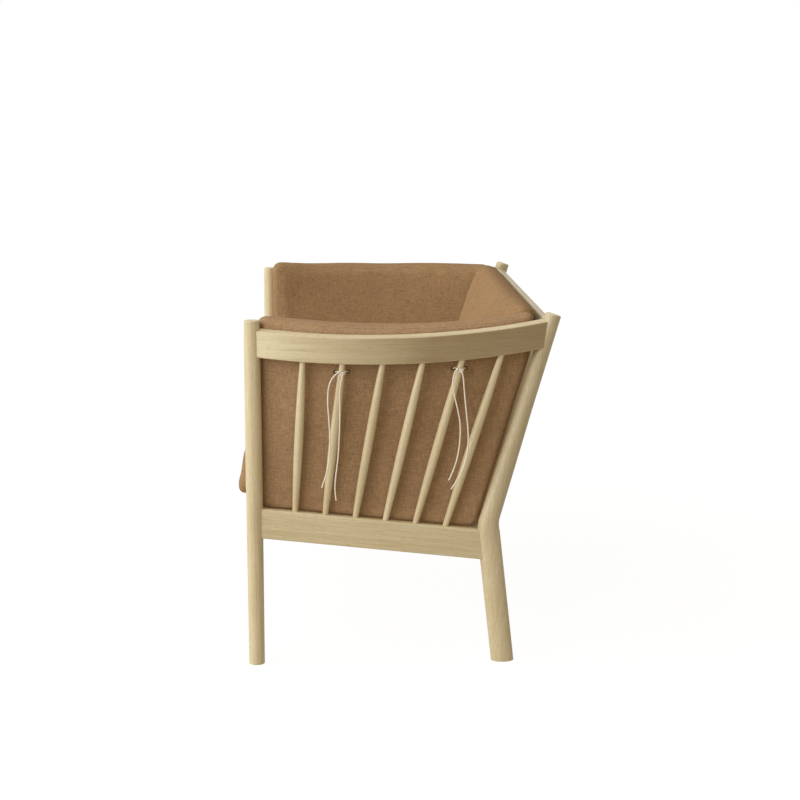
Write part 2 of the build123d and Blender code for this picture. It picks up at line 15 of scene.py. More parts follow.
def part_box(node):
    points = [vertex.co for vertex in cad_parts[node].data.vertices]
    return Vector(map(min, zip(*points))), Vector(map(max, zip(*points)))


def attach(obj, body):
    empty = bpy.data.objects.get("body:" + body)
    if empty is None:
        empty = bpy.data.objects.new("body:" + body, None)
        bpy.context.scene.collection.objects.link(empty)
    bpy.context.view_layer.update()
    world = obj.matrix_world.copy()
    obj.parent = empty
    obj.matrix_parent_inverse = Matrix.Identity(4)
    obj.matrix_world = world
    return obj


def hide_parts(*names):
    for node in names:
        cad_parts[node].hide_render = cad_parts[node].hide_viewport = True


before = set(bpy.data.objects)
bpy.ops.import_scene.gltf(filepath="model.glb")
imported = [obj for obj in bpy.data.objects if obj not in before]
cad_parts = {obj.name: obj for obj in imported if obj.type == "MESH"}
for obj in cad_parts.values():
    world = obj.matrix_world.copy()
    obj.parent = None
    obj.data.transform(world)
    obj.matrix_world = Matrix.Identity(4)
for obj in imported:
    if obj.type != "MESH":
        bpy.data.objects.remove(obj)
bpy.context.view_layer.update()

bl_info = {
    "name": "Spindle loveseat",
    "version": (1, 0, 0),
    "blender": (4, 5, 0),
    "location": "3D View > Sidebar > Loveseat",
    "description": "Finishes of a spindle loveseat with loose cushions",
    "category": "Object",
}

MM = 0.001
SIDES = (("left", 1.0), ("right", -1.0))     # the sitter's, and which way is outwards
BODY = "seat"
LOOSE_BODY = "loose_seat_cushion"

SEAT_SLOPE = math.radians(6.26)    # the seat falls to the rear
RECLINE = math.radians(16.85)      # the rear posts lean back
SPLAY = math.radians(6.23)         # the rear legs rake back below the seat
ARM_BOW = 60 * MM                  # how far an arm rail stands out in its middle


def box_of(node):
    """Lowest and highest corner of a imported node, as arrays."""
    low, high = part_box(node)
    return np.array(low), np.array(high)


def nodes_called(start):
    """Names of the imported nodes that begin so, in order."""
    return sorted(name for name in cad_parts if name.startswith(start))


FRONT_LEG = box_of("left_front_leg")
LEG_X = (FRONT_LEG[0][0] + FRONT_LEG[1][0]) / 2
FRONT_Y = (FRONT_LEG[0][1] + FRONT_LEG[1][1]) / 2
ARM_RAIL = box_of("left_arm_rail")


def linear(code):
    """Linear colour of an sRGB hex code."""
    values = np.array([int(code[at:at + 2], 16) for at in (0, 2, 4)]) / 255
    straight = np.where(values <= 0.04045, values / 12.92, ((values + 0.055) / 1.055) ** 2.4)
    return tuple(float(value) for value in straight)


def colour(code):
    """The same with full cover, as a shader's socket takes it."""
    return (*linear(code), 1.0)


class LoveseatFinish(bpy.types.PropertyGroup):
    """Colours and small sizes that a user would change."""

    oak_light: bpy.props.FloatVectorProperty(
        name="Oak, early wood", description="Pale part of the soaped oak",
        subtype="COLOR", size=3, min=0, max=1, default=linear("E9DBB8"))
    oak_dark: bpy.props.FloatVectorProperty(
        name="Oak, late wood", description="Darker streaks of the soaped oak",
        subtype="COLOR", size=3, min=0, max=1, default=linear("CDB888"))
    wool_light: bpy.props.FloatVectorProperty(
        name="Wool, light yarn", description="Lightest fibres of the melange",
        subtype="COLOR", size=3, min=0, max=1, default=linear("C5A074"))
    wool_dark: bpy.props.FloatVectorProperty(
        name="Wool, dark yarn", description="Darkest fibres of the melange",
        subtype="COLOR", size=3, min=0, max=1, default=linear("7D6348"))
    thong_colour: bpy.props.FloatVectorProperty(
        name="Thong", description="Undyed leather of the thongs",
        subtype="COLOR", size=3, min=0, max=1, default=linear("FBF4E4"))
    weave_pitch: bpy.props.FloatProperty(
        name="Weave pitch", description="Distance between two threads of the cover",
        subtype="DISTANCE", unit="LENGTH", default=3.2 * MM)
    streak_width: bpy.props.FloatProperty(
        name="Streak width", description="Width of a fine streak in the oak",
        subtype="DISTANCE", unit="LENGTH", default=2.4 * MM)
    cover_mesh: bpy.props.FloatProperty(
        name="Cover mesh", description="Edge of a cushion's mesh before it is smoothed",
        subtype="DISTANCE", unit="LENGTH", default=8 * MM)
    puff: bpy.props.FloatProperty(
        name="Puff", description="How far the cover may stand out from the cushion's packed solid",
        subtype="DISTANCE", unit="LENGTH", default=4 * MM)
    tuck: bpy.props.FloatProperty(
        name="Tuck", description="How far the cover may lie inside the cushion's packed solid",
        subtype="DISTANCE", unit="LENGTH", default=1 * MM)
    thong_diameter: bpy.props.FloatProperty(
        name="Thong diameter", description="Thickness of a thong",
        subtype="DISTANCE", unit="LENGTH", default=3 * MM)


def finish():
    """The settings of this scene."""
    return bpy.context.scene.loveseat_finish


# Materials


def add_node(tree, kind, inputs=(), **settings):
    """Adds one node; each input is a value or the socket that feeds it."""
    node = tree.nodes.new(kind)
    for name, value in settings.items():
        setattr(node, name, value)
    for name, value in dict(inputs).items():
        if isinstance(value, bpy.types.NodeSocket):
            tree.links.new(value, node.inputs[name])
        else:
            node.inputs[name].default_value = value
    return node


def new_material(name):
    """An empty material and its node tree."""
    material = bpy.data.materials.new(name)
    material.use_nodes = True
    material.node_tree.nodes.clear()
    return material, material.node_tree


def close_material(tree, **inputs):
    """The shader and the output that end each material."""
    shader = add_node(tree, "ShaderNodeBsdfPrincipled", {
        name.replace("_", " "): value for name, value in inputs.items()})
    add_node(tree, "ShaderNodeOutputMaterial", {"Surface": shader.outputs[0]})


def noise(tree, place, sizes, detail):
    """Noise whose cells have these sizes along the three axes of a place."""
    scaled = add_node(tree, "ShaderNodeVectorMath", {
        0: place, 1: tuple(1 / size for size in sizes)}, operation="MULTIPLY")
    texture = add_node(tree, "ShaderNodeTexNoise", {
        "Vector": scaled.outputs[0], "Scale": 1.0, "Detail": detail, "Roughness": 0.55})
    return texture.outputs[0]


def math_node(tree, operation, first, second=0.0, third=0.0):
    """Output of one calculation."""
    node = add_node(tree, "ShaderNodeMath", {0: first, 1: second, 2: third}, operation=operation)
    return node.outputs[0]


def mix_colours(tree, factor, first, second):
    """Output of a blend of two colours."""
    node = add_node(tree, "ShaderNodeMix", {0: factor, 6: first, 7: second}, data_type="RGBA")
    return node.outputs[2]


def weighted(tree, *pairs):
    """Output of a sum of sockets, each times its share."""
    total = 0.0
    for socket, share in pairs:
        total = math_node(tree, "MULTIPLY_ADD", socket, share, total)
    return total


def stretched(tree, value, low, high, top=1.0):
    """Output of a value stretched so that low gives 0 and high gives top."""
    node = add_node(tree, "ShaderNodeMapRange", {
        "Value": value, "From Min": low, "From Max": high, "To Min": 0.0, "To Max": top})
    return node.outputs[0]


def raised(tree, height, strength, distance):
    """Normal of a surface that a height raises."""
    node = add_node(tree, "ShaderNodeBump", {
        "Height": height, "Strength": strength, "Distance": distance})
    return node.outputs[0]


def parts_of(tree, vector):
    """The three numbers of a vector, as sockets."""
    return add_node(tree, "ShaderNodeSeparateXYZ", {0: vector}).outputs


def object_place(tree):
    """Object coordinates: places in the frame."""
    return add_node(tree, "ShaderNodeTexCoord").outputs["Object"]


def turned_place(tree, turn):
    """Object coordinates turned by three angles."""
    node = add_node(tree, "ShaderNodeMapping", {
        "Vector": object_place(tree), "Rotation": turn}, vector_type="POINT")
    return node.outputs[0]


def straight_place(tree, along):
    """Object coordinates turned so that a direction becomes the third axis."""
    turn = Vector(along).normalized().rotation_difference(Vector((0, 0, 1))).to_euler()
    return turned_place(tree, tuple(turn))


def bowed_place(tree):
    """Object coordinates bent with an arm rail: distance from the bow's centre, height, way along."""
    low, high = ARM_RAIL
    middle = float(low[1] + high[1]) / 2
    depth = float(high[1] - low[1])
    radius = ((depth / 2) ** 2 + ARM_BOW ** 2) / (2 * ARM_BOW)
    centre = float(LEG_X) + ARM_BOW - radius
    parts = parts_of(tree, object_place(tree))
    out = math_node(tree, "SUBTRACT", math_node(tree, "ABSOLUTE", parts[0]), centre)
    back = math_node(tree, "SUBTRACT", parts[1], middle)
    squares = math_node(tree, "MULTIPLY_ADD", out, out, math_node(tree, "MULTIPLY", back, back))
    distance = math_node(tree, "SQRT", squares)
    way = math_node(tree, "MULTIPLY", math_node(tree, "ARCTAN2", back, out), radius)
    joined = add_node(tree, "ShaderNodeCombineXYZ", {0: distance, 1: parts[2], 2: way})
    return joined.outputs[0]


# Sizes in the oak's grain: twice across it, then along it
OAK_BANDS = (11 * MM, 11 * MM, 900 * MM)
OAK_CLOUDS = (70 * MM, 70 * MM, 260 * MM)
OAK_STREAK_LENGTH = 90 * MM
OAK_PORES = (0.9 * MM, 0.9 * MM, 11 * MM)     # a real pore is 0.2 mm wide, too fine to show


def painted_lighting_along(tree, place, wood, first, last):
    """Wood with painted light and shade on its upright faces, from a first colour factor to a last one.

    Each factor is a place along the piece and the shares of red, green and blue kept there: below 1 it
    is painted shade, above 1 painted light. It fades out on faces that look up or down.
    """
    (start, first_shares), (end, last_shares) = first, last
    ramp = stretched(tree, parts_of(tree, place)[2], start, end)
    tint = mix_colours(tree, ramp, (*first_shares, 1.0), (*last_shares, 1.0))
    normal = add_node(tree, "ShaderNodeNewGeometry").outputs["Normal"]
    upwards = math_node(tree, "ABSOLUTE", parts_of(tree, normal)[2])
    tint = mix_colours(tree, math_node(tree, "SUBTRACT", 1.0, upwards), (1.0, 1.0, 1.0, 1.0), tint)
    return add_node(tree, "ShaderNodeVectorMath", {0: wood, 1: tint}, operation="MULTIPLY").outputs[0]


def soaped_oak(name, along=None, painted_lighting=1.0, painted_light_ramp=None):
    """Oak, planed or turned, sanded and rubbed with white soap.

    It gives the eye a pale, nearly matt straw colour, with soft lengthwise bands of the year's
    growth, fine streaks and short dark pores. No direction means the bow of an arm rail. The third
    argument is a factor on the board's colour, painted shade where it is below 1. The fourth is painted
    light and shade along the piece, two pairs as the ramp function above takes them.
    """
    material, tree = new_material(name)
    place = bowed_place(tree) if along is None else straight_place(tree, along)
    width = finish().streak_width
    bands = noise(tree, place, OAK_BANDS, 1.0)
    streaks = noise(tree, place, (width, width, OAK_STREAK_LENGTH), 3.0)
    clouds = noise(tree, place, OAK_CLOUDS, 1.0)
    pores = noise(tree, place, OAK_PORES, 0.0)
    grain = weighted(tree, (streaks, 0.6), (bands, 0.22), (clouds, 0.25))
    light, dark = ((*(painted_lighting * part for part in shade), 1.0)
                   for shade in (finish().oak_light, finish().oak_dark))
    board = mix_colours(tree, stretched(tree, grain, 0.34, 0.73), light, dark)
    pore_mask = stretched(tree, pores, 0.62, 0.74, top=0.35)
    wood = mix_colours(tree, pore_mask, board, colour("A98F5E"))
    # Painted light and shade along the piece, on its upright faces.
    if painted_light_ramp:
        wood = painted_lighting_along(tree, place, wood, *painted_light_ramp)
    height = math_node(tree, "MULTIPLY_ADD", pore_mask, -2.0, streaks)
    rough = math_node(tree, "MULTIPLY_ADD", streaks, 0.15, 0.38)
    close_material(tree, Base_Color=wood, Roughness=rough, Specular_IOR_Level=0.75,
                   Normal=raised(tree, height, 0.25, 0.15 * MM))
    return material


THREAD_LENGTH = 24 * MM           # of a stretch in one colour
THREAD_WIDTH = 2.6 * MM           # a real thread is 1.5 mm wide, too fine to show
WOOL_FLECK = 2.2 * MM
WOOL_CLOUD = 60 * MM


def wool_melange(name, lean, painted_lighting):
    """Wool melange in plain weave, felted a little.

    It gives the eye a matt warm brown whose threads, lengthwise and crosswise, are each spun of
    lighter and darker fibres. The lean is the cushion's tilt about the X axis. The last argument is
    painted light where above 1 and painted shade where below 1, over the whole cushion, as shares of
    red, green and blue.
    """
    material, tree = new_material(name)
    place = turned_place(tree, (lean, 0.0, 0.0))
    waves = add_node(tree, "ShaderNodeVectorMath", {
        0: place, 1: (2 * math.pi / finish().weave_pitch,) * 3}, operation="MULTIPLY")
    sines = add_node(tree, "ShaderNodeVectorMath", {0: waves.outputs[0]}, operation="SINE")
    parts = parts_of(tree, sines.outputs[0])
    weave = math_node(tree, "MULTIPLY", parts[1], parts[2])
    weave = math_node(tree, "MULTIPLY_ADD", parts[0], parts[1], weave)
    weave = math_node(tree, "MULTIPLY_ADD", parts[2], parts[0], weave)
    threads = []
    for axis in range(3):
        sizes = [THREAD_WIDTH] * 3
        sizes[axis] = THREAD_LENGTH
        threads.append((noise(tree, place, sizes, 1.0), 1.0))
    flecks = noise(tree, place, (WOOL_FLECK,) * 3, 2.0)
    clouds = noise(tree, place, (WOOL_CLOUD,) * 3, 2.0)
    shade = weighted(tree, *threads, (flecks, 1.2), (clouds, 0.35), (weave, 0.06))
    wool = mix_colours(tree, stretched(tree, shade, 1.42, 3.13),
                       (*np.multiply(painted_lighting, finish().wool_dark), 1.0),
                       (*np.multiply(painted_lighting, finish().wool_light), 1.0))
    height = math_node(tree, "MULTIPLY_ADD", weave, 0.35, flecks)
    close_material(tree, Base_Color=wool, Roughness=0.95, Specular_IOR_Level=0.15,
                   Normal=raised(tree, height, 0.5, 0.5 * MM))
    return material


def seam_thread():
    """Seam sewn in the cover's own wool, drawn tight: a line hardly darker than the cover."""
    material, tree = new_material("seam_thread")
    twist = noise(tree, object_place(tree), (1.2 * MM,) * 3, 1.0)
    thread = mix_colours(tree, twist, colour("7F6548"), colour("957A5A"))
    close_material(tree, Base_Color=thread, Roughness=0.85, Normal=raised(tree, twist, 0.4, 0.3 * MM))
    return material


def undyed_thong():
    """Vegetable-tanned leather cut as a round thong: cream, with a fibrous, waxy skin."""
    material, tree = new_material("undyed_leather_thong")
    place = object_place(tree)
    fibres = noise(tree, place, (0.8 * MM, 0.8 * MM, 5 * MM), 2.0)
    spots = noise(tree, place, (14 * MM,) * 3, 1.0)
    shade = weighted(tree, (fibres, 0.5), (spots, 0.5))
    leather = mix_colours(tree, shade, (*finish().thong_colour, 1.0), colour("E6DAC3"))
    close_material(tree, Base_Color=leather, Roughness=0.55, Normal=raised(tree, fibres, 0.35, 0.2 * MM))
    return material


def rubbed_metal(name, dark, light):
    """Turned or rolled metal, dull, and lighter where it is rubbed."""
    material, tree = new_material(name)
    rub = noise(tree, object_place(tree), (2.5 * MM,) * 3, 2.0)
    metal = mix_colours(tree, rub, colour(dark), colour(light))
    rough = math_node(tree, "MULTIPLY_ADD", rub, 0.25, 0.3)
    close_material(tree, Base_Color=metal, Metallic=1.0, Roughness=rough)
    return material


# Meshes


def shade_smooth(mesh):
    """Smooth shading on every face."""
    mesh.polygons.foreach_set("use_smooth", np.ones(len(mesh.polygons), dtype=bool))


def add_mesh(name, points, faces, material, body):
    """A smooth-shaded piece that rides on a body."""
    mesh = bpy.data.meshes.new(name)
    mesh.from_pydata(np.asarray(points).reshape(-1, 3).tolist(), [], faces)
    shade_smooth(mesh)
    mesh.update()
    piece = bpy.data.objects.new(name, mesh)
    bpy.context.scene.collection.objects.link(piece)
    mesh.materials.append(material)
    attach(piece, body)
    return piece


def grid_faces(rows, columns, wrap_rows=False, start=0):
    """Quads of a grid whose columns close on themselves, and its rows too if wrapped."""
    row = np.arange(rows if wrap_rows else rows - 1)[:, None]
    column = np.arange(columns)[None, :]
    after_row, after_column = (row + 1) % rows, (column + 1) % columns
    quads = np.stack([row * columns + column, row * columns + after_column,
                      after_row * columns + after_column, after_row * columns + column], axis=-1)
    return (quads.reshape(-1, 4) + start).tolist()


def closed_stack(rings):
    """Faces of a stack of rings, shape (rings, points, 3), with both ends closed."""
    rows, columns = rings.shape[:2]
    faces = grid_faces(rows, columns)
    faces.append(list(range(columns))[::-1])
    faces.append(list(range((rows - 1) * columns, rows * columns)))
    return faces


def tube_points(path, radius, sides, closed=False):
    """Rings round a path: centre + radius (cos a * side + sin a * up), both square to the path."""
    if closed:
        ahead = np.roll(path, -1, axis=0) - np.roll(path, 1, axis=0)
    else:
        ahead = np.gradient(path, axis=0)
    ahead /= np.linalg.norm(ahead, axis=1, keepdims=True)
    side = np.cross(ahead, np.array([0.0, 0.0, 1.0]) + 0.01 * ahead[:, ::-1])
    side /= np.linalg.norm(side, axis=1, keepdims=True)
    up = np.cross(side, ahead)
    angle = np.linspace(0, 2 * np.pi, sides, endpoint=False)[None, :, None]
    return path[:, None] + radius * (np.cos(angle) * side[:, None] + np.sin(angle) * up[:, None])


def lathe_points(profile, centre, axis, sides):
    """Rings of a turned shape: each (radius, height) of the profile goes round the axis."""
    axis = np.asarray(axis, float) / np.linalg.norm(axis)
    side = np.cross(axis, (0.0, 1.0, 0.0) if abs(axis[1]) < 0.9 else (1.0, 0.0, 0.0))
    side /= np.linalg.norm(side)
    up = np.cross(axis, side)
    profile = np.asarray(profile, float)
    angle = np.linspace(0, 2 * np.pi, sides, endpoint=False)[None, :, None]
    radius, height = profile[:, :1, None], profile[:, 1:, None]
    return centre + radius * (np.cos(angle) * side + np.sin(angle) * up) + height * axis


# Cushions

CLOTH_QUALITY = 5
COVER_MASS = 0.3                  # kilograms at each point of the cloth
FILLING_PRESSURE = 4
FILLING_FRAMES = 20
UNEVENNESS = 1.2 * MM
SEAM_TURN = math.radians(50)      # how far a cushion's edge has turned where it is sewn
SEAM_POINTS = 360
SEAM_DEPTH = 0.7 * MM             # of the soft groove
SEAM_WIDTH = 3.5 * MM
SEAM_INSET = 0.9 * MM             # of the thread's middle below the cover
SEAM_RADIUS = 0.6 * MM            # of the thread


def evaluated_mesh(piece):
    """A new mesh with the piece's modifiers worked into it."""
    return bpy.data.meshes.new_from_object(
        piece.evaluated_get(bpy.context.evaluated_depsgraph_get()))


def vertex_array(mesh, what="co"):
    """Places or normals of a mesh's vertices."""
    values = np.empty(len(mesh.vertices) * 3, dtype=np.float32)
    mesh.vertices.foreach_get(what, values)
    return values.reshape(-1, 3).astype(float)


def move_points(piece, points):
    """Puts the vertices of a piece at these places."""
    piece.data.vertices.foreach_set("co", points.ravel().astype(np.float32))
    piece.data.update()


def drop(piece):
    """Removes a helper object and its mesh."""
    mesh = piece.data
    bpy.data.objects.remove(piece)
    bpy.data.meshes.remove(mesh)


def swap_mesh(piece, mesh):
    """Gives the piece a new mesh and drops the old one and its modifiers."""
    old = piece.data
    piece.modifiers.clear()
    piece.data = mesh
    bpy.data.meshes.remove(old)


def bake_modifier(piece, kind, **settings):
    """Adds a modifier and works it into the mesh."""
    modifier = piece.modifiers.new("step", kind)
    for name, value in settings.items():
        setattr(modifier, name, value)
    swap_mesh(piece, evaluated_mesh(piece))


def blown_up(piece):
    """Where the cover's points go when the filling presses on it, by Blender's Cloth."""
    cloth = piece.modifiers.new("filling", "CLOTH")
    cloth.settings.quality = CLOTH_QUALITY
    cloth.settings.mass = COVER_MASS
    cloth.settings.use_pressure = True
    cloth.settings.uniform_pressure_force = FILLING_PRESSURE
    cloth.settings.effector_weights.gravity = 0
    cloth.point_cache.frame_start = 1
    cloth.point_cache.frame_end = FILLING_FRAMES
    scene = bpy.context.scene
    for number in range(1, FILLING_FRAMES + 1):
        scene.frame_set(number)
    simulated = evaluated_mesh(piece)
    points = vertex_array(simulated)
    bpy.data.meshes.remove(simulated)
    scene.frame_set(1)
    piece.modifiers.clear()
    return points


def nearest_on(piece, solid):
    """For each vertex of a piece, the nearest point on a solid."""
    shell = bpy.data.objects.new("shell", piece.data.copy())
    bpy.context.scene.collection.objects.link(shell)
    wrap = shell.modifiers.new("wrap", "SHRINKWRAP")
    wrap.target = solid
    wrap.wrap_method = "NEAREST_SURFACEPOINT"
    wrap.wrap_mode = "ON_SURFACE"
    wrapped = evaluated_mesh(shell)
    points = vertex_array(wrapped)
    drop(shell)
    bpy.data.meshes.remove(wrapped)
    return points


def hand_stuffed(points):
    """Soft unevenness, -1 to 1: the mean of three waves of 230, 150 and 110 mm."""
    waves = np.array([(17.0, 20.0, 9.0), (-12.0, 30.0, 26.0), (41.0, -22.0, 33.0)])
    return np.sin(points @ waves.T + np.array([0.4, 2.1, 4.4])).mean(axis=1)


def fill_cushion(piece, solid, resting):
    """Evens out the cover's mesh, blows it up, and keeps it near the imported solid.

    With w the simulated way along the normal, a point stands off the solid by
    puff tanh(w / 2 puff) outwards or tuck tanh(w / 2 tuck) inwards, plus the unevenness. With n the
    normal's share towards what the cushion rests on, all of it fades by 1.6 - 3 n, so there the
    cover stays on the solid.
    """
    bake_modifier(piece, "REMESH", mode="VOXEL", voxel_size=finish().cover_mesh)
    bake_modifier(piece, "SMOOTH", factor=0.5, iterations=4)
    before = vertex_array(piece.data)
    normals = vertex_array(piece.data, "normal")
    after = blown_up(piece)
    way = ((after - before) * normals).sum(axis=1)
    puff, tuck = finish().puff, finish().tuck
    stand = np.where(way > 0, puff * np.tanh(way / (2 * puff)), tuck * np.tanh(way / (2 * tuck)))
    stand += UNEVENNESS * hand_stuffed(before)
    stand *= np.clip(1.6 - 3 * (normals @ np.asarray(resting, float)), 0, 1)
    move_points(piece, nearest_on(piece, solid) + stand[:, None] * normals)
    bake_modifier(piece, "SMOOTH", factor=0.4, iterations=2)
    bake_modifier(piece, "SUBSURF", levels=1, render_levels=1)
    shade_smooth(piece.data)


def nearest(points, path):
    """For each point, the distance to a path's nearest point and which one it is."""
    distances, indices = [], []
    for part in np.array_split(points, max(1, len(points) * len(path) // 4_000_000)):
        squares = ((part[:, None] - path[None]) ** 2).sum(axis=2)
        indices.append(squares.argmin(axis=1))
        distances.append(np.sqrt(squares.min(axis=1)))
    return np.concatenate(distances), np.concatenate(indices)


def eased(values, rounds):
    """A closed row of values, each averaged with its neighbours a few times."""
    for _ in range(rounds):
        values = (np.roll(values, 1, axis=0) + 2 * values + np.roll(values, -1, axis=0)) / 4
    return values


def seam_path(points, normals, facing):
    """A closed path round a face of the cushion, where its edge has turned by the seam's angle.

    The points are sorted by their angle round the middle, seen along the facing. In each of the
    equal sectors, the one whose normal is nearest to the seam's angle off the facing is taken.
    """
    side = np.cross(facing, (0.0, 0.0, 1.0) if abs(facing[2]) < 0.8 else (0.0, 1.0, 0.0))
    side /= np.linalg.norm(side)
    up = np.cross(facing, side)
    flat = points - (points.min(axis=0) + points.max(axis=0)) / 2
    reach = np.array([np.abs(flat @ side).max(), np.abs(flat @ up).max()])
    angle = np.arctan2(flat @ up / reach[1], flat @ side / reach[0])
    sector = ((angle / (2 * np.pi) + 0.5) * SEAM_POINTS).astype(int) % SEAM_POINTS
    miss = np.abs(normals @ facing - np.cos(SEAM_TURN))
    order = np.lexsort((miss, sector))
    first = np.unique(sector[order], return_index=True)[1]
    return eased(points[order[first]], 12)


def sew(piece, facing, name, material, body):
    """Draws a seam into the cover: a soft groove, exp(-(d/w)^2) deep, and the thread in it."""
    points = vertex_array(piece.data)
    normals = vertex_array(piece.data, "normal")
    path = seam_path(points, normals, facing)
    _, closest = nearest(path, points)
    seam, outwards = eased(points[closest], 6), eased(normals[closest], 6)
    outwards /= np.linalg.norm(outwards, axis=1, keepdims=True)
    distance, _ = nearest(points, seam)
    depth = SEAM_DEPTH * np.exp(-(distance / SEAM_WIDTH) ** 2)
    move_points(piece, points - depth[:, None] * normals)
    thread = tube_points(seam - SEAM_INSET * outwards, SEAM_RADIUS, sides=6, closed=True)
    add_mesh(name, thread, grid_faces(*thread.shape[:2], wrap_rows=True), material, body)


def make_cushion(node, resting, facing, body, slump, lean=0.0, painted_lighting=(1.0, 1.0, 1.0)):
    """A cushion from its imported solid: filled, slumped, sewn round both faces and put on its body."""
    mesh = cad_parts[node].data.copy()
    mesh.transform(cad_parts[node].matrix_world)
    mesh.materials.clear()
    solid = bpy.data.objects.new("solid", mesh.copy())
    piece = bpy.data.objects.new(f"{node}_cover", mesh)
    for each in (solid, piece):
        bpy.context.scene.collection.objects.link(each)
    fill_cushion(piece, solid, resting)
    move_points(piece, slump(vertex_array(piece.data), vertex_array(solid.data)))
    drop(solid)
    piece.data.materials.append(wool_melange(f"wool_melange_{node}", lean, painted_lighting))
    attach(piece, body)
    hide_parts(node)
    thread = bpy.data.materials.get("seam_thread") or seam_thread()
    facing = np.asarray(facing, float)
    for number, direction in enumerate((facing, -facing), 1):
        sew(piece, direction, f"{node}_seam_{number}", thread, body)


def smooth_step(share):
    """3 s^2 - 2 s^3 of a share, kept between 0 and 1."""
    share = np.clip(share, 0, 1)
    return share * share * (3 - 2 * share)


def swell(height, way, middle, width):
    """way exp(-((height - middle) / width)^2)"""
    return way * np.exp(-((height - middle) / width) ** 2)


# The seat cushion's front edge: how far it goes, at which height over the underside, over what width
NOSE_FULL = (4.8 * MM, 22 * MM, 17 * MM)
NOSE_DRAWN_IN = (-1.5 * MM, 100 * MM, 30 * MM)
NOSE_SAG = (12 * MM, 8 * MM, 14 * MM)
NOSE_REACH = 60 * MM              # how far behind the front it has faded out
SAG_REACH = 30 * MM


def heavy_nose(points, solid):
    """The seat cushion's front edge hangs fuller low down, and falls back a little at the top.

    In front of the rail the edge sinks too.
    """
    along = np.array([0.0, math.cos(SEAT_SLOPE), -math.sin(SEAT_SLOPE)])
    normal = np.array([0.0, math.sin(SEAT_SLOPE), math.cos(SEAT_SLOPE)])
    behind = points @ along - (solid @ along).min()
    height = points @ normal - (solid @ normal).min()
    way = swell(height, *NOSE_FULL) + swell(height, *NOSE_DRAWN_IN)
    forwards = way * smooth_step(1 - behind / NOSE_REACH)
    sag = swell(height, *NOSE_SAG) * smooth_step(1 - behind / SAG_REACH)
    return points - forwards[:, None] * along - sag[:, None] * normal


CORNER_ROUNDING = 22 * MM
CORNER_OUTWARDS = 8 * MM
CORNER_FORWARDS = 7 * MM
FOOT_HEIGHT = 25 * MM             # up to here the solid's widest point is its outer side
REAR_STRETCH = 15 * MM
REAR_LIMIT = 17 * MM              # no point goes further back than this behind the solid
STRETCHED_LENGTH = 100 * MM
UNSTRETCHED_TOP = 0.22            # share of the height over which the stretch fades out


def nearing(distance):
    """The share by which a point nears a side: 0 at the rounding's distance, 1 at the side."""
    return np.clip(1 - distance / CORNER_ROUNDING, 0, 1)


def stuffed_corners(points, solid):
    """An arm cushion's rear end reaches in beside the post, and its lower edges are filled out.

    With a, b and c the shares by which a point nears the outer side, the underside and the front
    end, it goes outwards by a b, forwards by (1 - 0.6 a) b c, and as far down as both. The rear end
    stretches back, but not at the top, where the cushion stays in front of the post. Nothing sinks
    into the deck.
    """
    outer = np.sign(solid[:, 0].mean())
    lean, slope = math.tan(RECLINE), math.tan(SEAT_SLOPE)
    depth, reach = points[:, 1] - lean * points[:, 2], solid[:, 1] - lean * solid[:, 2]
    height, rise = points[:, 2] + slope * points[:, 1], solid[:, 2] + slope * solid[:, 1]
    foot = outer * solid[rise < rise.min() + FOOT_HEIGHT, 0]
    a = nearing(foot.max() - outer * points[:, 0])
    b = nearing(height - rise.min())
    c = nearing(points[:, 1] - solid[:, 1].min())
    outwards = CORNER_OUTWARDS * a * b
    forwards = CORNER_FORWARDS * (1 - 0.6 * a) * b * c
    up = (points[:, 2] - solid[:, 2].min()) / (solid[:, 2].max() - solid[:, 2].min())
    back = REAR_STRETCH * smooth_step((depth - reach.max()) / STRETCHED_LENGTH + 1)
    back = back * smooth_step((1 - up) / UNSTRETCHED_TOP)
    back = np.minimum(back, np.maximum(reach.max() - depth + REAR_LIMIT, 0))
    points = points + np.column_stack([outer * outwards, back - forwards, -outwards - forwards])
    points[:, 2] += np.maximum(rise.min() - points[:, 2] - slope * points[:, 1], 0)
    return points


ENDS_SINK = 4 * MM
LEFT_END_SINKS = 12 * MM


def lean_forward(points, solid):
    """The top rear edge of the back cushion sinks forward, most at the sitter's left end.

    With u from -1 to 1 along the seat and v from 0, halfway up or near the front, to 1 at the top
    rear edge, both ends go |u|^3 v^2 of their sinking, and the left one u^1.5 v^2 of its own too.
    """
    low, high = points.min(axis=0), points.max(axis=0)
    u = points[:, 0] / high[0]
    along = np.array([0.0, -math.cos(RECLINE), math.sin(RECLINE)])
    depth = points @ along
    rear = np.clip((depth.max() - depth) / (depth.max() - depth.min()) * 1.6 - 0.6, 0, 1)
    v = np.clip((points[:, 2] - low[2]) / (high[2] - low[2]) * 2 - 1, 0, 1) * rear
    way = v ** 2 * (ENDS_SINK * np.abs(u) ** 3 + LEFT_END_SINKS * np.maximum(u, 0) ** 1.5)
    return points + way[:, None] * along


# Thongs

TIED_SPINDLES = {"front": "left_arm_spindle_2", "rear": "left_arm_spindle_5"}
TIE_SHARE = 0.945                 # of the way up the spindle
TIED_RADIUS = 6.99 * MM           # of the spindle, there
TENON = 14 * MM
SPINDLE_END_RADIUS = 6.25 * MM
LOOP_RISE = 1.6 * MM              # half of what a loop climbs along the spindle
LOOP_SAG = 2 * MM
LOOP_POINTS = 13
KNOT_DIAMETER = 9 * MM
KNOT_UNIT = 1.3 * MM              # of the trefoil
KNOT_DROP = 1.6 * MM
EYELET_SPREAD = 14.5 * MM
EYELET_DROP = 4 * MM
EYELET_SEARCH = 100 * MM          # how far outside the cover its surface is looked for
REST_GAP = 0.3 * MM

# Section of an eyelet's rolled rim: (radius, height) in millimetres
EYELET_PROFILE = [(1.9, -1.2), (1.9, 0.6), (2.3, 1.3), (3.1, 1.5), (3.9, 1.1), (4.3, 0.3), (4.4, -0.6)]

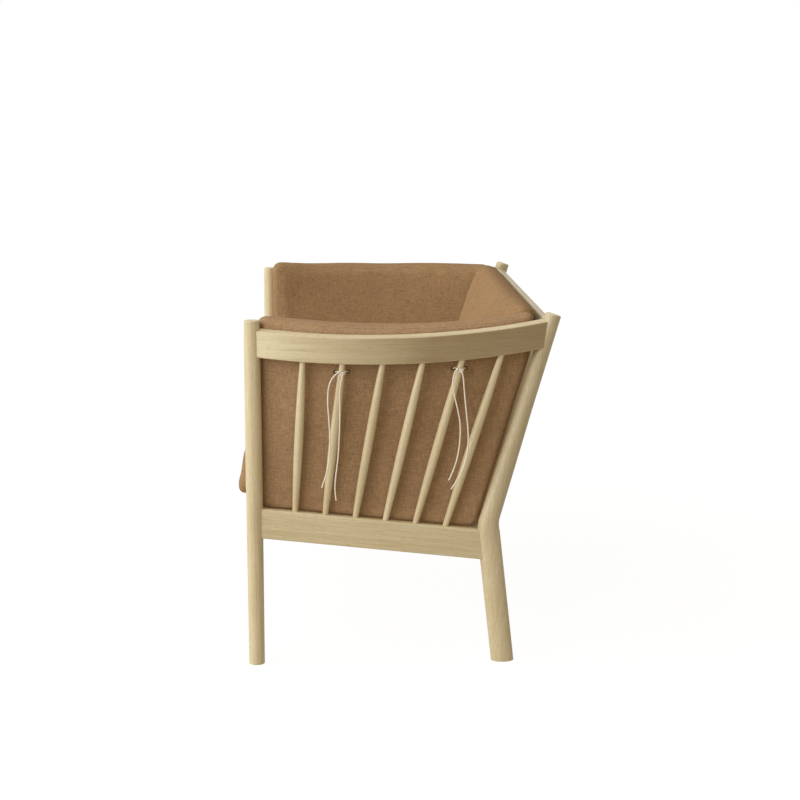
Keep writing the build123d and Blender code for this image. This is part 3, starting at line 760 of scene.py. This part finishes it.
# Free ends of the thongs: (depth, height) in millimetres from the knot, hanging straight down
TAIL_ROUTES = {
    "tie_front_tail_a": [(-4, 4), (-17, -5), (-28, -25), (-31, -60), (-28, -100), (-26, -145),
                         (-28, -190), (-36, -226), (-45, -250)],
    "tie_front_tail_b": [(2, -3), (-1, -17), (-5, -42), (-4, -90), (-6, -140), (-9, -185),
                         (-15, -229), (-17, -258), (-14, -278)],
    "tie_rear_tail_a": [(-4, 4), (-11, -3), (-16, -20), (-14, -50), (-5, -85), (2, -123),
                        (-1, -172), (-11, -215), (-24, -242)],
    "tie_rear_tail_b": [(3, -1), (7, -14), (9, -44), (13, -88), (19, -143), (16, -187),
                        (4, -224), (-9, -246), (-19, -261)],
}


def spindle_axis(node):
    """Foot and head of a spindle, between its tenons, from its box: the ends are thin discs."""
    low, high = box_of(node)
    way = high - low
    for _ in range(4):
        direction = way / np.linalg.norm(way)
        reach = SPINDLE_END_RADIUS * np.sqrt(1 - direction ** 2)
        way = (high - reach) - (low + reach)
    direction = way / np.linalg.norm(way)
    return low + reach + direction * TENON, high - reach - direction * TENON


def tie_places(node):
    """A tie's centre on its spindle, the spindle's axis, the loop's radius, the way out, the knot."""
    foot, head = spindle_axis(node)
    axis = (head - foot) / np.linalg.norm(head - foot)
    centre = foot + TIE_SHARE * (head - foot)
    radius = TIED_RADIUS + REST_GAP + finish().thong_diameter / 2
    outwards = np.array([1.0, 0.0, 0.0]) - axis * axis[0]
    outwards /= np.linalg.norm(outwards)
    knot = centre + outwards * (radius + KNOT_DIAMETER / 2)
    return centre, axis, radius, outwards, knot


def smooth_path(points, count, rounds=3):
    """An open path through points, evenly spaced and eased by averaging neighbours."""
    points = np.asarray(points, float)
    steps = np.r_[0, np.cumsum(np.linalg.norm(np.diff(points, axis=0), axis=1))]
    at = np.linspace(0, steps[-1], count)
    path = np.column_stack([np.interp(at, steps, points[:, axis]) for axis in range(3)])
    for _ in range(rounds):
        path[1:-1] = (path[:-2] + 2 * path[1:-1] + path[2:]) / 4
    return path


def make_eyelets(name, centre, cover, brass):
    """The tie's two eyelets, set in the cover, and the places where the thong goes in."""
    surface = BVHTree.FromPolygons(vertex_array(cover.data).tolist(),
                                   [tuple(face.vertices) for face in cover.data.polygons])
    rings, mouths = [], []
    for side in (-1, 1):
        start = Vector(centre + np.array([EYELET_SEARCH, side * EYELET_SPREAD, -EYELET_DROP]))
        hit, normal, _, _ = surface.ray_cast(start, Vector((-1.0, 0.0, 0.0)))
        hit, normal = np.array(hit), np.array(normal)
        rings.append(lathe_points(np.array(EYELET_PROFILE) * MM, hit, normal, sides=28))
        mouths.append(hit - normal * MM)
    rows, columns = rings[0].shape[:2]
    faces = grid_faces(rows, columns) + grid_faces(rows, columns, start=rows * columns)
    eyelets = add_mesh(f"tie_{name}_eyelets", np.concatenate(rings), faces, brass, BODY)
    return eyelets, mouths


def loop_path(centre, axis, radius, outwards, across, mouths):
    """The thong's middle line from one eyelet half round the spindle to the other."""
    turn = np.linspace(-np.pi / 2, np.pi / 2, LOOP_POINTS)[:, None]
    bend = centre + radius * (np.cos(turn) * outwards + np.sin(turn) * across)
    rise = np.linspace(-LOOP_RISE, LOOP_RISE, LOOP_POINTS)[:, None]
    bend = bend + axis * (rise - LOOP_SAG * np.cos(turn))
    return smooth_path(np.vstack([mouths[0], bend, mouths[1]]), 70)


def knot_path(knot, axis, outwards, across):
    """The thong's middle line in the knot: a trefoil, twice as wide as it is high."""
    t = np.linspace(0, 2 * np.pi, 90, endpoint=False)[:, None]
    wide = 2 * (np.sin(t) + 2 * np.sin(2 * t))
    high = np.cos(t) - 2 * np.cos(2 * t)
    trefoil = wide * across + high * axis - np.sin(3 * t) * outwards
    return knot + KNOT_UNIT * trefoil - KNOT_DROP * axis


def make_tie(name, node, cover, leather, brass):
    """One tie: eyelets, the thong's wrap with its knot, and its free ends. Returns the eyelets."""
    centre, axis, radius, outwards, knot = tie_places(node)
    eyelets, mouths = make_eyelets(name, centre, cover, brass)
    across = np.cross(axis, outwards)
    if across[1] < 0:
        across = -across
    thong = finish().thong_diameter / 2
    loop = tube_points(loop_path(centre, axis, radius, outwards, across, mouths), thong, sides=12)
    twist = tube_points(knot_path(knot, axis, outwards, across), thong * 0.95, sides=10, closed=True)
    rows, columns = loop.shape[:2]
    faces = closed_stack(loop)
    faces += grid_faces(*twist.shape[:2], wrap_rows=True, start=rows * columns)
    wrap = add_mesh(f"tie_{name}_wrap", np.concatenate([loop.reshape(-1, 3), twist.reshape(-1, 3)]),
                    faces, leather, BODY)
    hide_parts(f"tie_{name}_loop")
    for end in ("a", "b"):
        hang_tail(f"tie_{name}_tail_{end}", knot, leather)
    return eyelets


def hang_tail(name, knot, leather):
    """One free end: a smooth line through the route's points, as thick as the thong."""
    reach = KNOT_DIAMETER / 2 + REST_GAP + finish().thong_diameter / 2
    route = np.array(TAIL_ROUTES[name]) * MM
    out = math.sqrt(reach ** 2 - (route[0] ** 2).sum())
    points = knot + np.column_stack([np.full(len(route), out), route])
    curve = bpy.data.curves.new(f"{name}_thong", "CURVE")
    curve.dimensions = "3D"
    curve.bevel_depth = finish().thong_diameter / 2
    curve.bevel_resolution = 4
    curve.resolution_u = 10
    curve.use_fill_caps = True
    line = curve.splines.new("NURBS")
    line.points.add(len(points) - 1)
    line.points.foreach_set("co", np.column_stack([points, np.ones(len(points))]).ravel())
    line.order_u = 3
    line.use_endpoint_u = True
    piece = bpy.data.objects.new(f"{name}_thong", curve)
    bpy.context.scene.collection.objects.link(piece)
    curve.materials.append(leather)
    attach(piece, BODY)
    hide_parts(name)


# Stage

CAMERA_DISTANCE_X = 4582 * MM
CAMERA_Y_FROM_LEG = 179 * MM
CAMERA_HEIGHT = 1258 * MM
CAMERA_PITCH = math.radians(9.50)
CAMERA_YAW = math.radians(2.04)
CAMERA_ROLL = math.radians(-0.17)
CAMERA_LENS = 83.115               # millimetres, as is the sensor
CAMERA_SENSOR = 36
CAMERA_REACH = 100.0               # metres
KEY_AZIMUTH = math.radians(64)     # from +X towards the front
KEY_HEIGHT = math.radians(28)
KEY_WIDTH = math.radians(74)       # angle that the lamp fills, for soft shadows
KEY_STRENGTH = 2.85
FLOOR_REACH = 14.0                 # metres
FLOOR_GLOW = 1.12
FLOOR_GLOW_SHARE = 0.86            # the rest of what the camera sees is paint, which takes shadows


def seen_directly(tree):
    """1 for rays from the camera, a mirror or glass, and 0 for rays that only carry light."""
    path = add_node(tree, "ShaderNodeLightPath").outputs
    seen = math_node(tree, "MAXIMUM", path["Is Camera Ray"], path["Is Glossy Ray"])
    return math_node(tree, "MAXIMUM", seen, path["Is Transmission Ray"])


def make_floor():
    """A wide pale floor that shows white to the camera and keeps the seat's shadow."""
    corners = [(-1, -1, 0), (1, -1, 0), (1, 1, 0), (-1, 1, 0)]
    mesh = bpy.data.meshes.new("floor")
    mesh.from_pydata((FLOOR_REACH * np.array(corners)).tolist(), [], [(0, 1, 2, 3)])
    floor = bpy.data.objects.new("floor", mesh)
    bpy.context.scene.collection.objects.link(floor)
    material, tree = new_material("white_floor")
    paint = add_node(tree, "ShaderNodeBsdfDiffuse", {"Color": colour("C2BAAC")})
    glow = add_node(tree, "ShaderNodeEmission", {"Color": colour("FFFFFF"), "Strength": FLOOR_GLOW})
    share = math_node(tree, "MULTIPLY", seen_directly(tree), FLOOR_GLOW_SHARE)
    blend = add_node(tree, "ShaderNodeMixShader", {
        0: share, 1: paint.outputs[0], 2: glow.outputs[0]})
    add_node(tree, "ShaderNodeOutputMaterial", {"Surface": blend.outputs[0]})
    mesh.materials.append(material)


def make_lamp():
    """A large soft lamp from the front left, above."""
    lamp = bpy.data.lights.new("window", "SUN")
    lamp.energy = KEY_STRENGTH
    lamp.angle = KEY_WIDTH
    lamp.color = linear("F6FAFF")
    key = bpy.data.objects.new("window", lamp)
    bpy.context.scene.collection.objects.link(key)
    towards = Vector((math.cos(KEY_HEIGHT) * math.cos(KEY_AZIMUTH),
                      -math.cos(KEY_HEIGHT) * math.sin(KEY_AZIMUTH), math.sin(KEY_HEIGHT)))
    key.rotation_mode = "QUATERNION"
    key.rotation_quaternion = towards.to_track_quat("Z", "Y")


def make_surround():
    """An even pale light from all round, which shows white to the camera."""
    world = bpy.data.worlds.new("surround")
    world.use_nodes = True
    tree = world.node_tree
    tree.nodes.clear()
    shade = mix_colours(tree, seen_directly(tree), colour("AAA08F"), colour("FFFFFF"))
    sky = add_node(tree, "ShaderNodeBackground", {"Color": shade, "Strength": 1.0})
    add_node(tree, "ShaderNodeOutputWorld", {"Surface": sky.outputs[0]})
    bpy.context.scene.world = world


def make_camera():
    """The camera, at the photograph's viewing angle."""
    scene = bpy.context.scene
    camera = bpy.data.objects.new("camera", bpy.data.cameras.new("camera"))
    scene.collection.objects.link(camera)
    camera.location = (CAMERA_DISTANCE_X, FRONT_Y + CAMERA_Y_FROM_LEG, CAMERA_HEIGHT)
    forward = Vector((-math.cos(CAMERA_YAW) * math.cos(CAMERA_PITCH),
                      math.sin(CAMERA_YAW) * math.cos(CAMERA_PITCH), -math.sin(CAMERA_PITCH)))
    right = forward.cross(Vector((0, 0, 1))).normalized()
    up = right.cross(forward)
    level = math.cos(CAMERA_ROLL) * right + math.sin(CAMERA_ROLL) * up
    axes = Matrix((level, level.cross(forward), -forward)).transposed()
    camera.rotation_mode = "QUATERNION"
    camera.rotation_quaternion = axes.to_quaternion()
    camera.data.lens = CAMERA_LENS
    camera.data.sensor_width = CAMERA_SENSOR
    camera.data.clip_end = CAMERA_REACH
    scene.camera = camera


# Operators


def dress(node, material):
    """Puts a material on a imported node."""
    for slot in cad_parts[node].material_slots:
        slot.material = material


class LOVESEAT_OT_oak_frame(bpy.types.Operator):
    """Finishes the legs, rails, spindles, cleats and slats in soaped oak"""

    bl_idname = "loveseat.oak_frame"
    bl_label = "Oak frame"

    def execute(self, context):
        upright = soaped_oak("soaped_oak_upright", (0, 0, 1))
        # Painted shade: the rear legs' upright faces darken going up the post, from 250 to 450 mm along
        # it.
        raked = soaped_oak("soaped_oak_rear_leg", (0, math.tan((RECLINE - SPLAY) / 2), 1),
                           painted_light_ramp=((250 * MM, (0.92, 0.91, 0.89)), (450 * MM, (0.71, 0.69, 0.65))))
        sloping = soaped_oak("soaped_oak_slat", (0, 1, -math.tan(SEAT_SLOPE)))
        # Painted shade: the side seat rails' upright faces darken towards the rear.
        side_rail = soaped_oak("soaped_oak_seat_rail", (0, 1, -math.tan(SEAT_SLOPE)),
                               painted_light_ramp=((-150 * MM, (0.98, 0.98, 0.96)), (250 * MM, (0.79, 0.78, 0.73))))
        # Painted light at the arm rails' front ends, and painted shade darkening them towards the rear.
        bowed = soaped_oak("soaped_oak_bowed_rail",
                           painted_light_ramp=((-320 * MM, (1.09, 1.12, 1.12)), (60 * MM, (0.46, 0.39, 0.29))))
        crossing = soaped_oak("soaped_oak_cross_rail", (1, 0, 0))
        # Painted shade: the back rail's colour is darkened to 0.74 of the oak's.
        back_rail = soaped_oak("soaped_oak_back_rail", (1, 0, 0), painted_lighting=0.74)
        leaning = soaped_oak("soaped_oak_back_spindle", (0, math.tan(RECLINE), 1))
        for side, outwards in SIDES:
            dress(f"{side}_front_leg", upright)
            dress(f"{side}_rear_leg", raked)
            dress(f"{side}_side_seat_rail", side_rail)
            dress(f"{side}_arm_rail", bowed)
            for number, node in enumerate(nodes_called(f"{side}_arm_spindle_"), 1):
                foot, head = spindle_axis(node)
                # A box doesn't tell which way a spindle leans. Its head is the outer end.
                way = (head - foot) * np.array([outwards, 1.0, 1.0])
                dress(node, soaped_oak(f"soaped_oak_{side}_spindle_{number}", way))
        for node in ("front_seat_rail", "rear_seat_rail", "front_cleat", "rear_cleat"):
            dress(node, crossing)
        dress("back_rail", back_rail)
        for node in nodes_called("back_spindle_"):
            dress(node, leaning)
        for node in nodes_called("seat_slat_"):
            dress(node, sloping)
        return {"FINISHED"}


SCREW_FROM_END = 12 * MM          # along the slat
SCREW_FROM_MIDDLE = 18 * MM       # across it

# Half of a countersunk screw's head with its recess: (radius, height) in millimetres
SCREW_PROFILE = [(0.5, -0.9), (1.6, -0.8), (1.9, 0.0), (3.6, 0.15), (4.0, -0.1), (4.0, -1.2)]


class LOVESEAT_OT_slat_screws(bpy.types.Operator):
    """Adds the countersunk screws that hold each slat on its two cleats"""

    bl_idname = "loveseat.slat_screws"
    bl_label = "Slat screws"

    def execute(self, context):
        profile = np.array(SCREW_PROFILE) * MM
        normal = (0.0, math.sin(SEAT_SLOPE), math.cos(SEAT_SLOPE))
        points, faces = [], []
        for node in nodes_called("seat_slat_"):
            low, high = box_of(node)
            for y in (low[1] + SCREW_FROM_END, high[1] - SCREW_FROM_END):
                for offset in (-SCREW_FROM_MIDDLE, SCREW_FROM_MIDDLE):
                    top = high[2] - (y - low[1]) * math.tan(SEAT_SLOPE)
                    centre = np.array([(low[0] + high[0]) / 2 + offset, y, top])
                    rings = lathe_points(profile, centre, normal, sides=16)
                    start = sum(len(part) for part in points)
                    faces += [[index + start for index in face] for face in closed_stack(rings)]
                    points.append(rings.reshape(-1, 3))
        zinc = rubbed_metal("zinc_plated_screw", "B9B4A6", "DAD6CA")
        add_mesh("slat_screws", np.concatenate(points), faces, zinc, BODY)
        return {"FINISHED"}


class LOVESEAT_OT_seat_cushion(bpy.types.Operator):
    """Makes the seat cushion"""

    bl_idname = "loveseat.seat_cushion"
    bl_label = "Seat cushion"

    def execute(self, context):
        normal = np.array([0.0, math.sin(SEAT_SLOPE), math.cos(SEAT_SLOPE)])
        make_cushion("seat_cushion", -normal, normal, LOOSE_BODY, heavy_nose, lean=-SEAT_SLOPE)
        return {"FINISHED"}


class LOVESEAT_OT_back_cushion(bpy.types.Operator):
    """Makes the back cushion"""

    bl_idname = "loveseat.back_cushion"
    bl_label = "Back cushion"

    def execute(self, context):
        normal = np.array([0.0, -math.cos(RECLINE), math.sin(RECLINE)])
        # Painted shade: the back cushion's colour is darkened by these shares.
        make_cushion("back_cushion", -normal, normal, BODY, lean_forward, lean=-RECLINE,
                     painted_lighting=(0.892, 0.867, 0.822))
        return {"FINISHED"}


class LOVESEAT_OT_arm_cushions(bpy.types.Operator):
    """Makes both arm cushions"""

    bl_idname = "loveseat.arm_cushions"
    bl_label = "Arm cushions"

    def execute(self, context):
        # Painted light on the left arm cushion and painted shade on the right one, as shares of their
        # colour.
        painted_lighting_by_side = {"left": (1.10, 1.12, 1.22), "right": (0.96, 0.96, 0.96)}
        for side, outwards in SIDES:
            direction = (outwards, 0.0, 0.0)
            make_cushion(f"{side}_arm_cushion", direction, direction, BODY, stuffed_corners,
                         painted_lighting=painted_lighting_by_side[side])
        return {"FINISHED"}


class LOVESEAT_OT_ties(bpy.types.Operator):
    """Ties the left arm cushion to two spindles: eyelets, thongs, knots and free ends"""

    bl_idname = "loveseat.ties"
    bl_label = "Ties"

    def execute(self, context):
        cover = bpy.data.objects["left_arm_cushion_cover"]
        leather = undyed_thong()
        brass = rubbed_metal("burnished_brass_eyelet", "3A3124", "6B5A3C")
        for name, node in TIED_SPINDLES.items():
            eyelets = make_tie(name, node, cover, leather, brass)
            if name == "front":
                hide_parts("cushion_eyelets")
        return {"FINISHED"}


class LOVESEAT_OT_stage(bpy.types.Operator):
    """Sets up the floor, the light and the camera"""

    bl_idname = "loveseat.stage"
    bl_label = "Stage"

    def execute(self, context):
        context.scene.view_settings.view_transform = "Standard"
        make_floor()
        make_lamp()
        make_surround()
        make_camera()
        return {"FINISHED"}


class LOVESEAT_PT_panel(bpy.types.Panel):
    """The settings of the finish, and a button for each group of pieces"""

    bl_idname = "LOVESEAT_PT_panel"
    bl_label = "Loveseat"
    bl_space_type = "VIEW_3D"
    bl_region_type = "UI"
    bl_category = "Loveseat"

    def draw(self, context):
        settings = context.scene.loveseat_finish
        for name in LoveseatFinish.__annotations__:
            self.layout.prop(settings, name)
        for operator in OPERATORS:
            self.layout.operator(operator.bl_idname)


OPERATORS = (
    LOVESEAT_OT_oak_frame,
    LOVESEAT_OT_slat_screws,
    LOVESEAT_OT_seat_cushion,
    LOVESEAT_OT_back_cushion,
    LOVESEAT_OT_arm_cushions,
    LOVESEAT_OT_ties,
    LOVESEAT_OT_stage,
)
CLASSES = (LoveseatFinish, *OPERATORS, LOVESEAT_PT_panel)


def register():
    """Adds the classes and the settings to Blender."""
    for each in CLASSES:
        bpy.utils.register_class(each)
    bpy.types.Scene.loveseat_finish = bpy.props.PointerProperty(type=LoveseatFinish)


def unregister():
    """Takes them out again."""
    del bpy.types.Scene.loveseat_finish
    for each in reversed(CLASSES):
        bpy.utils.unregister_class(each)


def main():
    """Makes every piece and the stage."""
    register()
    bpy.ops.loveseat.oak_frame()
    bpy.ops.loveseat.slat_screws()
    bpy.ops.loveseat.seat_cushion()
    bpy.ops.loveseat.back_cushion()
    bpy.ops.loveseat.arm_cushions()
    bpy.ops.loveseat.ties()
    bpy.ops.loveseat.stage()


if __name__ == "__main__":
    main()
